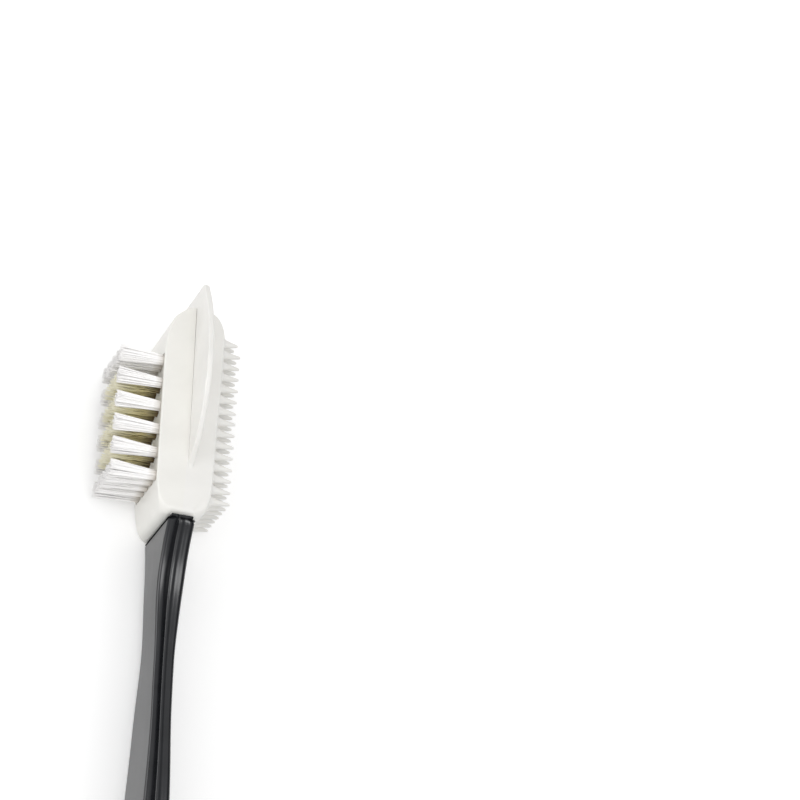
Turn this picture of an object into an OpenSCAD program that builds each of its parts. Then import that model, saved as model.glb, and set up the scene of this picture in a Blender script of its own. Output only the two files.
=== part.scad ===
// Suede brush: black handle, two-sided white head with a curved edge blade.
// One side of the head carries nylon and brass tufts, the other rows of soft nubs.
// Frame: X across the head (tufts towards -X, nubs towards +X), Y along the length
// (nose towards +Y), Z up. The brush lies on the flat far side of its head.
// All sizes are in millimetres.

/* [Head] */
// depth of the head, from its flat far side to the blade side
head_depth = 22; // [20:0.5:24]
// half thickness of the head at the handle end of the tuft face
head_half_end = 7.35; // [7.2:0.05:7.8]
// half thickness of the head at the nose end
head_half_nose = 7.85; // [7.8:0.05:8.4]
// length from the start of the tuft face to the nose
nose_reach = 48.7; // [47:0.1:50]
// length from the start of the tuft face back to the handle
shoulder_reach = 9.3; // [9:0.1:10.5]
// rounding of the long edge between the tuft face and the far side
far_edge_r = 2.2; // [1:0.1:2.4]
// rounding where the blade side rolls down to the handle
end_roll_r = 2; // [1:0.1:2.5]

/* [Tuft field] */
// length of the recessed tuft field
field_len = 35.2; // [34.8:0.1:36]
// rim left between the tuft field and the far side
far_rim = 3; // [2.6:0.1:3.2]
// rim left between the tuft field and the blade side
near_rim = 0.8; // [0.7:0.05:1]
// depth of the recess below the head's face
recess_depth = 1.35; // [1.2:0.05:1.5]
// thickness of the backing slice that each group of tufts grows from
slice_t = 0.9; // [0.8:0.05:1]
// running gap between neighbouring slices
slice_gap = 0.1; // [0.06:0.02:0.2]
// distance of the end tufts from the ends of the field
tuft_margin_y = 1.6; // [1.5:0.05:1.7]
// distance of the outer tufts from the sides of the field
tuft_margin_z = 1.5; // [1.45:0.05:1.55]
// length of the bristles above the recess floor
bristle_len = 13.2; // [11:0.1:14]
// radius of a tuft where it leaves the block
tuft_r = 1.1; // [1:0.05:1.15]
// spread of a tuft at its tips along the head
flare_y = 2.05; // [1.2:0.05:2.3]
// gap between the tips of neighbouring tufts across the head
tip_gap = 0.46; // [0.42:0.02:0.8]
// thickness of one bristle, as a radius
strand_r = 0.2; // [0.16:0.01:0.21]

/* [Tuft holes] */
// radius of the holes that hold the folded tufts
hole_r = 1.35; // [1.3:0.05:1.4]
// depth of the tuft holes below the recess floor
hole_depth = 3.4; // [3.3:0.1:3.5]
// clearance round a folded tuft in its hole
root_clear = 0.2; // [0.15:0.05:0.25]
// thickness of a flat metal anchor
anchor_t = 0.4; // [0.3:0.05:0.5]
// height of a flat metal anchor
anchor_h = 1.4; // [1.2:0.1:1.6]

/* [Nubs] */
// rows of nubs along the head
nub_rows = 15; // [13:1:15]
// columns of nubs across the head
nub_cols = 7; // [5:1:7]
// spacing of the nub rows along the head
nub_pitch_y = 3.16; // [3.1:0.01:3.17]
// distance of the outer nub columns from the edges of the pad
nub_margin_z = 2; // [1.9:0.05:2.2]
// height of a nub above its pad
nub_h = 5; // [4:0.1:5.5]
// radius of a nub at its root
nub_root_r = 1.42; // [1.2:0.02:1.44]
// radius of a nub near its tip
nub_tip_r = 0.5; // [0.35:0.05:0.7]

/* [Blade] */
// thickness of the edge blade
blade_t = 1.4; // [1:0.1:1.6]
// radius of the blade's curved edge
blade_r = 36; // [34:0.5:38]
// distance of the curve's centre from the start of the tuft face
blade_mid = 31; // [30:0.5:32]
// height of the blade above the head at its highest point
blade_h = 12.8; // [10:0.1:14]
// how far the blade stands beyond the nose
blade_lip = 4.3; // [3.5:0.1:5]
// depth of the blade's root inside the head
blade_root = 5.4; // [5:0.1:5.6]

/* [Handle] */
// total length of the brush, blade lip included
total_len = 165; // [160:1:175]
// half thickness of the handle at the head
handle_half_top = 3.52; // [3.3:0.02:3.6]
// half thickness of the handle at its waist
handle_half_waist = 2.65; // [2.4:0.05:3]
// height of the handle above the blade side of the head where they meet
near_rise = 1.1; // [0.5:0.1:1.5]
// height of the blade side of the handle at the waist
near_waist = 15.9; // [15:0.1:17]
// height of the blade side of the grip at its widest
near_grip = 19.6; // [18:0.1:21]
// height of the far side of the handle at the waist
far_waist = 3.4; // [2.5:0.1:4]
// distance from the start of the tuft face to the waist
waist_at = 36; // [34:0.5:40]
// distance from the start of the tuft face to where the grip rests
grip_at = 63; // [60:0.5:66]
// distance from the start of the tuft face to where the grip is widest
grip_wide_at = 86; // [80:1:92]
// distance from the start of the tuft face to where the handle starts to thin
thin_from = 22; // [20:0.5:24]
// distance from the start of the tuft face to where it is thinnest
thin_at = 46; // [44:0.5:50]
// extra half thickness of the grip
grip_swell = 0.75; // [0.4:0.05:1]
// depth of the grooves along the narrow sides
groove_depth = 0.45; // [0.3:0.05:0.6]
// length of the rounded end of the grip
end_len = 11; // [9:0.5:13]
// radius of the hanging hole
hang_r = 3; // [2:0.1:3.5]
// distance of the hanging hole from the end of the grip
hang_from_end = 9.5; // [8.5:0.5:12]

/* [Tang and pegs] */
// thickness of the tang inside the head
tang_t = 3.6; // [3:0.1:3.8]
// height of the tang's lower edge
tang_low = 5; // [4.8:0.1:5.5]
// wall between the tang and the blade root
tang_gap = 1.2; // [1:0.1:1.6]
// length of the tang inside the head
tang_len = 48; // [40:1:49]
// clearance round the tang and the blade root in their pockets
pocket_clear = 0.2; // [0.15:0.05:0.3]
// radius of the pegs through the tang
peg_r = 1.5; // [1.2:0.1:1.8]
// radius of the pegs through the blade root
small_peg_r = 0.9; // [0.8:0.05:1]
// clearance round a peg
peg_clear = 0.15; // [0.1:0.05:0.2]
// depth of the peg sockets in the nub pad
socket_depth = 2.6; // [2.2:0.1:3]

/* [Hidden] */

black = [0.04, 0.04, 0.045];
white = [0.93, 0.92, 0.89];
soft_white = [0.92, 0.91, 0.88];
nylon = [0.9, 0.9, 0.92];
brass = [0.6, 0.5, 0.2];
steel = [0.6, 0.6, 0.62];

// levels across the head, measured from its middle plane
floor_x = -(head_half_end - recess_depth);
slice_top_x = floor_x - slice_t;
tip_x = floor_x - bristle_len;
nub_face_end = head_half_end - 0.12;
nub_tip_x = nub_face_end + nub_h + 0.3;
// where the nub side of the head is widest
pad_wide_at = nose_reach - 10.7;

// level of the handle's blade side where it meets the head
near_top = head_depth + near_rise;

// how far a cutting shape reaches past what it cuts, and the overlap of
// shapes that are one piece
past = 1;
joined = 0.2;

// the whole part is moved so that its box is centred on X = 0 and Y = 0
blade_end = nose_reach + blade_lip;
handle_end = blade_end - total_len;
shift_x = -(tip_x + nub_tip_x) / 2;
shift_y = -(blade_end + handle_end) / 2;

// tuft grid
cols_y = 6;
rows_z = 5;
field_y0 = -0.6;
field_z0 = far_rim;
field_z1 = head_depth - near_rim;
field_depth = field_z1 - field_z0;
tuft_pitch_y = (field_len - 2 * tuft_margin_y) / (cols_y - 1);
tuft_pitch_z = (field_depth - 2 * tuft_margin_z) / (rows_z - 1);
col_y0 = field_y0 + tuft_margin_y;
row_z0 = field_z0 + tuft_margin_z;
function col_y(i) = col_y0 + i * tuft_pitch_y;
function row_z(j) = row_z0 + j * tuft_pitch_z;
// borders of the slices: half way between neighbouring tufts
low_cut = col_y(0) + tuft_pitch_y / 2;
high_cut = col_y(cols_y - 2) + tuft_pitch_y / 2;
far_cut = row_z(0) + tuft_pitch_z / 2;
near_cut = row_z(rows_z - 2) + tuft_pitch_z / 2;

// blade curve
blade_cz = head_depth + blade_h - blade_r;
blade_meet = blade_mid - sqrt(blade_r * blade_r - pow(head_depth - blade_cz, 2));
blade_tip_z = blade_cz + sqrt(blade_r * blade_r - pow(blade_end - blade_mid, 2));
// height of the blade's lower corner on the nose, and its foot behind the curve
blade_low = 4;
heel = 1;

// pegs
tang_w = head_depth - blade_root - tang_low - tang_gap;
tang_z = tang_low + tang_w / 2;
tang_pegs = [4, tang_len - shoulder_reach - 7.7];
blade_pegs = [12, 24, nose_reach - 12.7];
peg_end_clear = 0.3;
blade_peg_z = head_depth - blade_root / 2;

module placed() {
    translate([shift_x, shift_y, 0]) children();
}

// outline of the head seen along Z, anticlockwise from the handle
he = head_half_end;
hn = head_half_nose;
hf = hn - 0.15;
sh = -shoulder_reach;
no = nose_reach;
head_outline = [
    [-nub_face_end / 2, sh], [nub_face_end / 2, sh], [nub_face_end * 0.65, sh + 0.9],
    [nub_face_end - 1.13, sh + 2.2], [nub_face_end - 0.43, sh + 4.4],
    [nub_face_end - 0.15, sh + 6.7], [nub_face_end, 0],
    [hf, pad_wide_at], [hf, no - 7.5], [hn - 0.55, no - 5.1], [hn - 1.25, no - 3.3],
    [hn - 2.25, no - 1.8], [hn * 0.55, no - 0.8], [hn * 0.33, no - 0.15], [0, no],
    [-hn * 0.24, no - 0.2], [-hn * 0.41, no - 1.1], [-hn * 0.59, no - 2.3],
    [-hn + 1.85, no - 3.8], [-hn + 0.95, no - 6.1], [-hn + 0.35, no - 8.7],
    [-hn, no - 12.7], [-he, 0], [-he + 0.6, sh + 5.1], [-he + 1.3, sh + 2.1],
    [-he + 1.95, sh + 0.9], [-he + 2.75, sh + 0.3]
];

module head_body() {
    difference() {
        linear_extrude(height = head_depth) polygon(head_outline);
        far_edge_cut();
        end_roll_cut();
    }
}

// removes the corner outside the rounding along the far left edge
module far_edge_cut() {
    steps = 6;
    cx = far_edge_r - he;
    out_x = -hn - 0.6;
    translate([0, no + past, 0]) rotate([90, 0, 0])
        linear_extrude(height = no + shoulder_reach + 2 * past)
            polygon(concat([[out_x, -past], [cx, -past]],
                [for (k = [0:steps]) let (a = 270 - 90 * k / steps)
                    [cx + far_edge_r * cos(a), far_edge_r + far_edge_r * sin(a)]],
                [[out_x, far_edge_r + 3]]));
}

// removes the corner outside the rounding where the blade side meets the handle
module end_roll_cut() {
    steps = 6;
    cy = sh + end_roll_r;
    cz = head_depth - end_roll_r;
    translate([-hn - past, 0, 0]) rotate([90, 0, 90]) linear_extrude(height = 2 * (hn + past))
        polygon(concat([[sh - past, head_depth + past], [sh - past, cz]],
            [for (k = [0:steps]) let (a = 180 - 90 * k / steps)
                [cy + end_roll_r * cos(a), cz + end_roll_r * sin(a)]],
            [[cy, head_depth + past]]));
}

// everything of the head on one side of the middle plane, which starts at x
module half_box(x) {
    translate([x, sh - past, -past])
        cube([hn + past, no + shoulder_reach + 2 * past, head_depth + 2 * past]);
}

// pocket for the tang and slot for the blade root, across the middle plane
module inner_pockets() {
    translate([-tang_t / 2, sh - past, tang_low - pocket_clear])
        cube([tang_t, tang_len + past + pocket_clear, tang_w + 2 * pocket_clear]);
    translate([-blade_t / 2, 0, 0]) rotate([90, 0, 90])
        linear_extrude(height = blade_t) blade_slot_shape();
}

// room for the blade root: open to the blade side and to the nose
module blade_slot_shape() {
    c = pocket_clear;
    root_z = head_depth - blade_root;
    polygon([[blade_meet - heel - c, head_depth + past], [blade_meet - heel - c, root_z - c],
        [no - blade_root - c, root_z - c], [no - blade_root - c, blade_low - c],
        [no + past, blade_low - c], [no + past, head_depth + past]]);
}

// outline of the blade seen along X
module blade_shape() {
    root_z = head_depth - blade_root;
    steps = 40;
    a0 = acos((blade_end - blade_mid) / blade_r);
    a1 = 180 - asin((head_depth - blade_cz) / blade_r);
    polygon(concat(
        [for (k = [0:steps]) let (a = a0 + (a1 - a0) * k / steps)
            [blade_mid + blade_r * cos(a), blade_cz + blade_r * sin(a)]],
        [[blade_meet - heel, head_depth], [blade_meet - heel, root_z],
        [no - blade_root, root_z], [no - blade_root, blade_low],
        [no - 0.6, blade_low], [no + blade_lip * 0.37, blade_low + 1.2],
        [no + blade_lip * 0.77, blade_low + 3.6], [blade_end, blade_low + 7]]));
}

// peg of the block that crosses a slot of the given half width
module peg(r, half_t) {
    rotate([0, 90, 0]) translate([0, 0, -half_t - joined])
        cylinder(r = r, h = half_t * 2 + joined + socket_depth - peg_end_clear, $fn = 32);
}

module tuft_holes() {
    for (i = [0:cols_y - 1]) for (j = [0:rows_z - 1])
        translate([floor_x - joined, col_y(i), row_z(j)]) rotate([0, 90, 0])
            cylinder(r = hole_r, h = hole_depth + joined, $fn = 12);
}

module bristle_block() {
    color(white) placed() {
        difference() {
            head_body();
            half_box(0);
            inner_pockets();
            translate([-hn - past, field_y0, field_z0])
                cube([hn + past + floor_x, field_len, field_depth]);
            tuft_holes();
        }
        for (y = tang_pegs) translate([0, y, tang_z]) peg(peg_r, tang_t / 2);
        for (y = blade_pegs) translate([0, y, blade_peg_z]) peg(small_peg_r, blade_t / 2);
    }
}

// one nub: a wide root, a tapering shaft and a small blunt tip
module nub(h) {
    n = 6;
    rr = [nub_root_r, nub_root_r * 0.62, nub_tip_r];
    xx = [-joined, h * 0.34, h * 0.94];
    pts = concat([for (k = [0:2]) for (s = [0:n - 1])
        [xx[k], rr[k] * cos(360 * s / n), rr[k] * sin(360 * s / n)]], [[-joined, 0, 0], [h, 0, 0]]);
    sides = [for (k = [0:1]) for (s = [0:n - 1]) for (q = [0:1])
        q == 0 ? [k * n + s, (k + 1) * n + (s + 1) % n, k * n + (s + 1) % n]
            : [k * n + s, (k + 1) * n + s, (k + 1) * n + (s + 1) % n]];
    caps = [for (s = [0:n - 1]) for (q = [0:1])
        q == 0 ? [3 * n, s, (s + 1) % n] : [3 * n + 1, 2 * n + (s + 1) % n, 2 * n + s]];
    polyhedron(points = pts, faces = concat(sides, caps));
}

// face of the nub pad at a given place along the head
function pad_x(y) = y < 0 ? nub_face_end + y * 0.06
    : nub_face_end + (hf - nub_face_end) * min(y, pad_wide_at) / pad_wide_at;
nub_y0 = pad_wide_at / 2 - 0.38 - nub_pitch_y * (nub_rows - 1) / 2;
nub_pitch_z = (head_depth - 2 * nub_margin_z) / (nub_cols - 1);
nub_mid_z = head_depth / 2 + 0.2;

module nub_pad() {
    color(soft_white) placed() {
        difference() {
            head_body();
            half_box(-hn - past);
            inner_pockets();
            for (y = tang_pegs) translate([0, y, tang_z]) rotate([0, 90, 0])
                cylinder(r = peg_r + peg_clear, h = tang_t / 2 + socket_depth, $fn = 32);
            for (y = blade_pegs) translate([0, y, blade_peg_z]) rotate([0, 90, 0])
                cylinder(r = small_peg_r + peg_clear, h = blade_t / 2 + socket_depth, $fn = 32);
        }
        for (i = [0:nub_rows - 1]) for (j = [0:nub_cols - 1])
            let (y = nub_y0 + i * nub_pitch_y, z = nub_mid_z + (j - (nub_cols - 1) / 2) * nub_pitch_z)
                translate([pad_x(y), y, z])
                    nub(nub_tip_x - pad_x(y) - (i == nub_rows - 1 ? nub_h * 0.18 : 0));
    }
}

module edge_blade() {
    color(soft_white) placed() difference() {
        translate([-blade_t / 2, 0, 0]) rotate([90, 0, 90])
            linear_extrude(height = blade_t) blade_shape();
        for (y = blade_pegs) translate([-blade_t, y, blade_peg_z]) rotate([0, 90, 0])
            cylinder(r = small_peg_r + peg_clear, h = 2 * blade_t, $fn = 32);
    }
}

// one bristle: three sides from its root in the slice to its tip
module strand(y0, z0, y1, z1, r0, r1, turn) {
    foot_x = slice_top_x + slice_t * 0.4;
    pts = concat([for (s = [0:2]) let (a = turn + 120 * s) [foot_x, y0 + r0 * cos(a), z0 + r0 * sin(a)]],
        [for (s = [0:2]) let (a = turn + 120 * s) [tip_x, y1 + r1 * cos(a), z1 + r1 * sin(a)]]);
    polyhedron(points = pts, faces = [[0, 2, 1], [3, 4, 5],
        [0, 1, 3], [1, 4, 3], [1, 2, 4], [2, 5, 4], [2, 0, 5], [0, 3, 5]]);
}

// bristles in one tuft, and how far a tip strays from its place
strands = 12;
stray = strand_r * 0.4;
flare_z = ((tuft_pitch_z - tip_gap) / 2 - strand_r * 0.85 - stray) / (tuft_r - strand_r * 0.5);

// small repeatable unevenness between -1 and 1
function uneven(k) = sin(k * 137.5) * cos(k * 71.3);

// the bristles of one tuft, wider at the tips
module tuft(i, j) {
    base = 31 * i + 7 * j;
    for (k = [0:strands - 1]) {
        ring = k == 0 ? 0 : k < 5 ? 0.5 * tuft_r : tuft_r - strand_r * 0.5;
        a = k < 5 ? 90 * k + 9 * base : 360 / (strands - 5) * k + 17 * base;
        dy = ring * cos(a);
        dz = ring * sin(a);
        strand(col_y(i) + dy, row_z(j) + dz,
            col_y(i) + dy * flare_y + stray * uneven(base + k),
            row_z(j) + dz * flare_z + stray * uneven(base + 3 * k),
            strand_r, strand_r * 0.85, 40 * k);
    }
}

// depth of an anchor's top below the recess floor, and the fit round it
anchor_clear = 0.05;
anchor_top = hole_depth - 3 * root_clear - anchor_h;

// folded root of a tuft in its hole, slotted for its anchor
module tuft_root(i, j) {
    translate([floor_x, col_y(i), row_z(j)]) difference() {
        translate([-joined, 0, 0]) rotate([0, 90, 0])
            cylinder(r = hole_r - root_clear, h = hole_depth - 2 * root_clear, $fn = 12);
        translate([anchor_top - anchor_clear, -anchor_t / 2 - anchor_clear, -2 * hole_r])
            cube([anchor_h + past, anchor_t + 2 * anchor_clear, 4 * hole_r]);
    }
}

module anchor(i, j) {
    translate([floor_x + anchor_top, col_y(i) - anchor_t / 2, row_z(j) - hole_r + root_clear / 2])
        cube([anchor_h, anchor_t, 2 * hole_r - root_clear]);
}

// a backing slice with its tufts
module tuft_group(is, js, y0, y1, z0, z1) {
    g = slice_gap / 2;
    placed() {
        translate([slice_top_x, y0 + g, z0 + g]) cube([slice_t, y1 - y0 - 2 * g, z1 - z0 - 2 * g]);
        for (i = is) for (j = js) {
            tuft_root(i, j);
            tuft(i, j);
        }
    }
}

module anchor_group(is, js) {
    placed() for (i = is) for (j = js) anchor(i, j);
}

all_rows = [0:rows_z - 1];
inner_rows = [1:rows_z - 2];
inner_cols = [1:cols_y - 2];
field_y1 = field_y0 + field_len;

module nylon_tufts_nose_end() {
    color(nylon) tuft_group([cols_y - 1], all_rows, high_cut, field_y1, field_z0, field_z1);
}
module nylon_tufts_handle_end() {
    color(nylon) tuft_group([0], all_rows, field_y0, low_cut, field_z0, field_z1);
}
module nylon_tufts_near_row() {
    color(nylon) tuft_group(inner_cols, [rows_z - 1], low_cut, high_cut, near_cut, field_z1);
}
module nylon_tufts_far_row() {
    color(nylon) tuft_group(inner_cols, [0], low_cut, high_cut, field_z0, far_cut);
}
module brass_group(i) {
    color(brass) tuft_group([i], inner_rows, col_y(i) - tuft_pitch_y / 2,
        col_y(i) + tuft_pitch_y / 2, far_cut, near_cut);
}
module brass_tufts_1() { brass_group(1); }
module brass_tufts_2() { brass_group(2); }
module brass_tufts_3() { brass_group(3); }
module brass_tufts_4() { brass_group(4); }

module anchors_nose_end() { color(steel) anchor_group([cols_y - 1], all_rows); }
module anchors_handle_end() { color(steel) anchor_group([0], all_rows); }
module anchors_near_row() { color(steel) anchor_group(inner_cols, [rows_z - 1]); }
module anchors_far_row() { color(steel) anchor_group(inner_cols, [0]); }
module anchors_brass_1() { color(steel) anchor_group([1], inner_rows); }
module anchors_brass_2() { color(steel) anchor_group([2], inner_rows); }
module anchors_brass_3() { color(steel) anchor_group([3], inner_rows); }
module anchors_brass_4() { color(steel) anchor_group([4], inner_rows); }

// smooth step from 0 to 1
function ease(t) = t <= 0 ? 0 : t >= 1 ? 1 : t * t * (3 - 2 * t);
// fast fall then slow run-out, for the shoulders of the handle
function run_out(t) = t <= 0 ? 0 : t >= 1 ? 1 : 1 - pow(1 - t, 2.6);

// where the curves of the handle start and end
waist_run = waist_at * 1.111;
far_waist_at = waist_at * 0.944;
swell_from = grip_at * 0.92;
swell_at = grip_wide_at * 1.023;

// sides of the handle at distance s behind the start of the tuft face
function end_round(s) = let (e = (s - (-handle_end - end_len)) / end_len)
    e <= 0 ? 1 : sqrt(max(0, 1 - e * e));
function near_raw(s) = s < waist_at
    ? near_top - (near_top - near_waist) * run_out((s - shoulder_reach) / (waist_at - shoulder_reach))
    : near_waist + (near_grip - near_waist) * ease((s - waist_run) / (grip_wide_at - waist_run));
function far_raw(s) = s < far_waist_at
    ? far_waist * run_out((s - shoulder_reach) / (far_waist_at - shoulder_reach))
    : far_waist * (1 - ease((s - far_waist_at) / (grip_at - far_waist_at)));
function mid_z(s) = (near_raw(s) + far_raw(s)) / 2;
function near_z(s) = mid_z(s) + (near_raw(s) - mid_z(s)) * end_round(s);
function far_z(s) = mid_z(s) - (mid_z(s) - far_raw(s)) * end_round(s);
function half_t(s) = (handle_half_top
    - (handle_half_top - handle_half_waist) * ease((s - thin_from) / (thin_at - thin_from))
    + grip_swell * ease((s - swell_from) / (swell_at - swell_from))) * (0.45 + 0.55 * end_round(s));

// places along the handle, closer together round the end of the grip
handle_len = -handle_end - shoulder_reach;
body_steps = 22;
cap_steps = 7;
stations = concat(
    [for (k = [0:body_steps - 1]) shoulder_reach + (handle_len - end_len) * k / body_steps],
    [for (k = [0:cap_steps]) -handle_end - end_len + end_len * sin(90 * k / cap_steps)]);

// outline of the handle seen along X, drawn in by a margin d
module side_shape(d) {
    m = len(stations);
    polygon(concat([for (s = stations) [-s + (s > shoulder_reach ? 0 : d), near_z(s) - d * end_round(s)]],
        [for (k = [1:m - 1]) let (s = stations[m - 1 - k])
            [-s + (k < m - 1 ? 0 : d), far_z(s) + d * end_round(s)]]));
}

// outline of the handle seen along Z, drawn in by a margin d
module plan_shape(d) {
    m = len(stations);
    polygon(concat([for (s = stations) [half_t(s) - d, -s]],
        [for (k = [0:m - 1]) [-half_t(stations[m - 1 - k]) + d, -stations[m - 1 - k]]]));
}

// half width of a block that holds the whole handle, the grooves' widths and
// their distance from the end of the grip
half_w = handle_half_top + grip_swell + past;
groove_w = 0.5;
fine_groove_w = 0.3;
groove_stop = 1.5;
tang_in_grip = 4;

// strip to take away so that a groove runs along both narrow sides
module groove(x, w, depth) {
    translate([x - w / 2, 0, 0]) rotate([90, 0, 90]) linear_extrude(height = w) difference() {
        translate([handle_end + groove_stop, -past])
            square([handle_len - groove_stop + joined, near_top + 2 * past]);
        side_shape(depth);
    }
}

module handle() {
    color(black) placed() difference() {
        union() {
            intersection() {
                translate([-half_w, 0, 0]) rotate([90, 0, 90])
                    linear_extrude(height = 2 * half_w) side_shape(0);
                translate([0, 0, -past]) linear_extrude(height = near_top + 2 * past) plan_shape(0);
            }
            translate([-tang_t / 2, sh - tang_in_grip, tang_low])
                cube([tang_t, tang_len + tang_in_grip, tang_w]);
        }
        groove(-handle_half_waist * 0.45, groove_w, groove_depth);
        groove(handle_half_waist * 0.72, fine_groove_w, groove_depth * 0.6);
        for (y = tang_pegs) translate([-tang_t, y, tang_z]) rotate([0, 90, 0])
            cylinder(r = peg_r + peg_clear, h = 2 * tang_t, $fn = 32);
        translate([-half_w, handle_end + hang_from_end, mid_z(-handle_end - hang_from_end)])
            rotate([0, 90, 0]) cylinder(r = hang_r, h = 2 * half_w, $fn = 48);
    }
}

handle();
bristle_block();
nub_pad();
edge_blade();
nylon_tufts_nose_end();
nylon_tufts_handle_end();
nylon_tufts_near_row();
nylon_tufts_far_row();
brass_tufts_1();
brass_tufts_2();
brass_tufts_3();
brass_tufts_4();
anchors_nose_end();
anchors_handle_end();
anchors_near_row();
anchors_far_row();
anchors_brass_1();
anchors_brass_2();
anchors_brass_3();
anchors_brass_4();
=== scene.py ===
"""Suede brush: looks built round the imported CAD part."""
import math
import random

import bmesh
import bpy
from mathutils import Matrix, Vector


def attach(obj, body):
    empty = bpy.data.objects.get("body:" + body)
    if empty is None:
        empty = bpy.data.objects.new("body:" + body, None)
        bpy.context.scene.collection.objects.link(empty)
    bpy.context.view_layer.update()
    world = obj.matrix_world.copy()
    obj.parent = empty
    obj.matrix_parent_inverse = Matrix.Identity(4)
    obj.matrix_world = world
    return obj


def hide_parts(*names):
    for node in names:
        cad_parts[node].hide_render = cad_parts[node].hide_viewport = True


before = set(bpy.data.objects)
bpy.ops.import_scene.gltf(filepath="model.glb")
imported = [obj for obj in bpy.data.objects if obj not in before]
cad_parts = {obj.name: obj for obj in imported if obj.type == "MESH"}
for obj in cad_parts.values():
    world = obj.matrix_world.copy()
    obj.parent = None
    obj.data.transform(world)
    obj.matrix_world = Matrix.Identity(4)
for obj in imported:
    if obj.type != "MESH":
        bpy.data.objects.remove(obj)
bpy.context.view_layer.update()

# -------------------------------------------------------------------- sizes
# In mm, in the part's own coordinates: x from the tufts (-) to the nubs (+),
# y from the handle to the nose, z from the floor up to the blade.
MM = 0.001
SHIFT_X, SHIFT_Y = 3.335, 29.5          # part coordinates to the row frame

# head
HEAD_DEPTH = 22.0
HALF_END, HALF_NOSE = 7.35, 7.85        # half thickness at the handle, at the nose
NOSE, SHOULDER = 48.7, 9.3              # the head lies between -SHOULDER and NOSE
FACE_END, FACE_NOSE = HALF_END - 0.12, HALF_NOSE - 0.15   # nub face, both ends
FACE_WIDEST = 38                        # where that face reaches FACE_NOSE
SUPPORT = 0.25                          # flat band that keeps flat faces flat
PLAY = 0.2                              # room in the pockets inside the head

# field of tufts
RIM, SLICE_T, TUFT_LEN = 1.35, 0.9, 13.2                  # recess, slab in it, tufts
FLOOR_X = -(HALF_END - RIM)             # bottom of the recess that holds the field
SLICE_TOP = FLOOR_X - SLICE_T           # floor of the field, from which tufts rise
TIP_X = FLOOR_X - TUFT_LEN
FIELD_Y0, FIELD_LEN = -0.6, 35.2
FIELD_MID, FIELD_DEPTH = 12.1, 18.2
PITCH_Y, PITCH_Z = 6.4, 3.8
COLS, ROWS = 6, 5
COL0 = FIELD_Y0 + (FIELD_LEN - (COLS - 1) * PITCH_Y) / 2
ROW0 = FIELD_MID - (ROWS - 1) * PITCH_Z / 2
RECESS = 12                             # reach of the cutter that opens the field
COLLAR_SIDES = 20
COLLAR = [(0.1, 1.75), (-0.12, 1.62), (-0.16, 1.5), (-0.1, 1.36), (0.1, 1.3)]   # x, radius

# filaments
NYLON_SET = (112, 0.17, 6, 5)           # number in a tuft, radius, segments, sides
BRASS_SET = (40, 0.11, 14, 4)
NYLON_WAVE, BRASS_WAVE = (0.05, 3.0), (0.11, 13.0)        # size, radians from end to end
BUNDLE_R, GOLDEN_ANGLE = 1.16, 2.399963
ROOT_LIFT = 0.3                         # the roots start this far inside the floor
SPREAD_Y = (1.85, 0.22, 0.12)           # widening at the tip, its range, scatter
SPREAD_Z = (1.38, 0.12, 0.08)
SPREAD_POWER, TIP_SCATTER, TIP_TAPER = 1.15, 0.28, 0.55

# nubs
NUB_ROWS, NUB_COLS = 15, 7
NUB_Y0, NUB_MID_Z = -3.5, 11.2
NUB_PITCH_Y, NUB_PITCH_Z = 3.16, 3.0
NUB_TIP = FACE_END + 5.3
NUB_LAST_LOWER, NUB_LEAN, NUB_SIDES = 0.9, 0.12, 14
NUB_DRAWN = 5.0                         # height at which the profile is drawn
NUB_PROFILE = [(-0.25, 1.75), (0.02, 1.58), (0.2, 1.42), (0.6, 1.2), (1.4, 0.97),
               (2.5, 0.76), (3.6, 0.58), (4.3, 0.47), (4.62, 0.38), (4.84, 0.26),
               (4.96, 0.12)]

# blade
BLADE_T, BLADE_R, BLADE_MID, BLADE_H = 1.4, 36.0, 31.0, 12.8
BLADE_END, BLADE_ROOT, BLADE_LOW = 53.0, 5.4, 4.0
BLADE_SKEW, BLADE_ASIDE = 0.020, 0.25   # the photo's blade runs off the head's line
BLADE_CZ = HEAD_DEPTH + BLADE_H - BLADE_R                 # centre of its curve
BLADE_MEET = BLADE_MID - math.sqrt(BLADE_R ** 2 - (HEAD_DEPTH - BLADE_CZ) ** 2)
ROOT_Z = HEAD_DEPTH - BLADE_ROOT
SLOT_GAP, NOSE_GAP = 0.02, 0.10         # hairline on the tuft side, and at the nose
EDGE_R, EDGE_STEPS, EDGE_SUPPORT = 0.34, 5, 0.08          # rounding of its edges
CORNER, CORNER_STEPS = 0.9, 4           # rounding of its corners seen from the side
FILLET, FILLET_STEPS, FILLET_ARC = 0.35, 60, 4            # radius, steps, arc steps
FILLET_START, FILLET_STOP = 1.6, 1.2    # from BLADE_MEET, and back from NOSE

# handle, by s: the distance from y = 0 towards its end
TOTAL_LEN, END_LEN = 165.0, 11.0
S_END = TOTAL_LEN - BLADE_END
S_ROUND = S_END - END_LEN               # where the rounded end begins
TANG_T, TANG_LOW, TANG_W, TANG_LEN = 3.6, 5.0, 10.4, 48.0
HANG_R, HANG_FROM_END = 3.0, 9.5
NEAR_HEAD, NEAR_WAIST, NEAR_GRIP = 23.1, 15.9, 19.6       # level of the near side
FAR_WAIST = 3.4                         # the far side rises this much at the waist
HALF_HEAD, HALF_THINNER, HALF_FULLER = 3.52, 0.87, 0.75   # half thickness
HALF_AT_END = 0.45                      # share of it that the rounded end keeps
HALF_DRAWN = 3.5                        # half thickness at which grooves are drawn
SIDE_R_LEFT, SIDE_R_RIGHT = 1.0, 1.35   # shoulders of the narrow side
GROOVE_AT, VALLEY_AT = 2.55, 1.0        # from the left edge, from the middle
GROOVE, GROOVE_FLANK, VALLEY = (0.36, 0.70), (0.85, 0.18), (0.80, 0.26)
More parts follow.
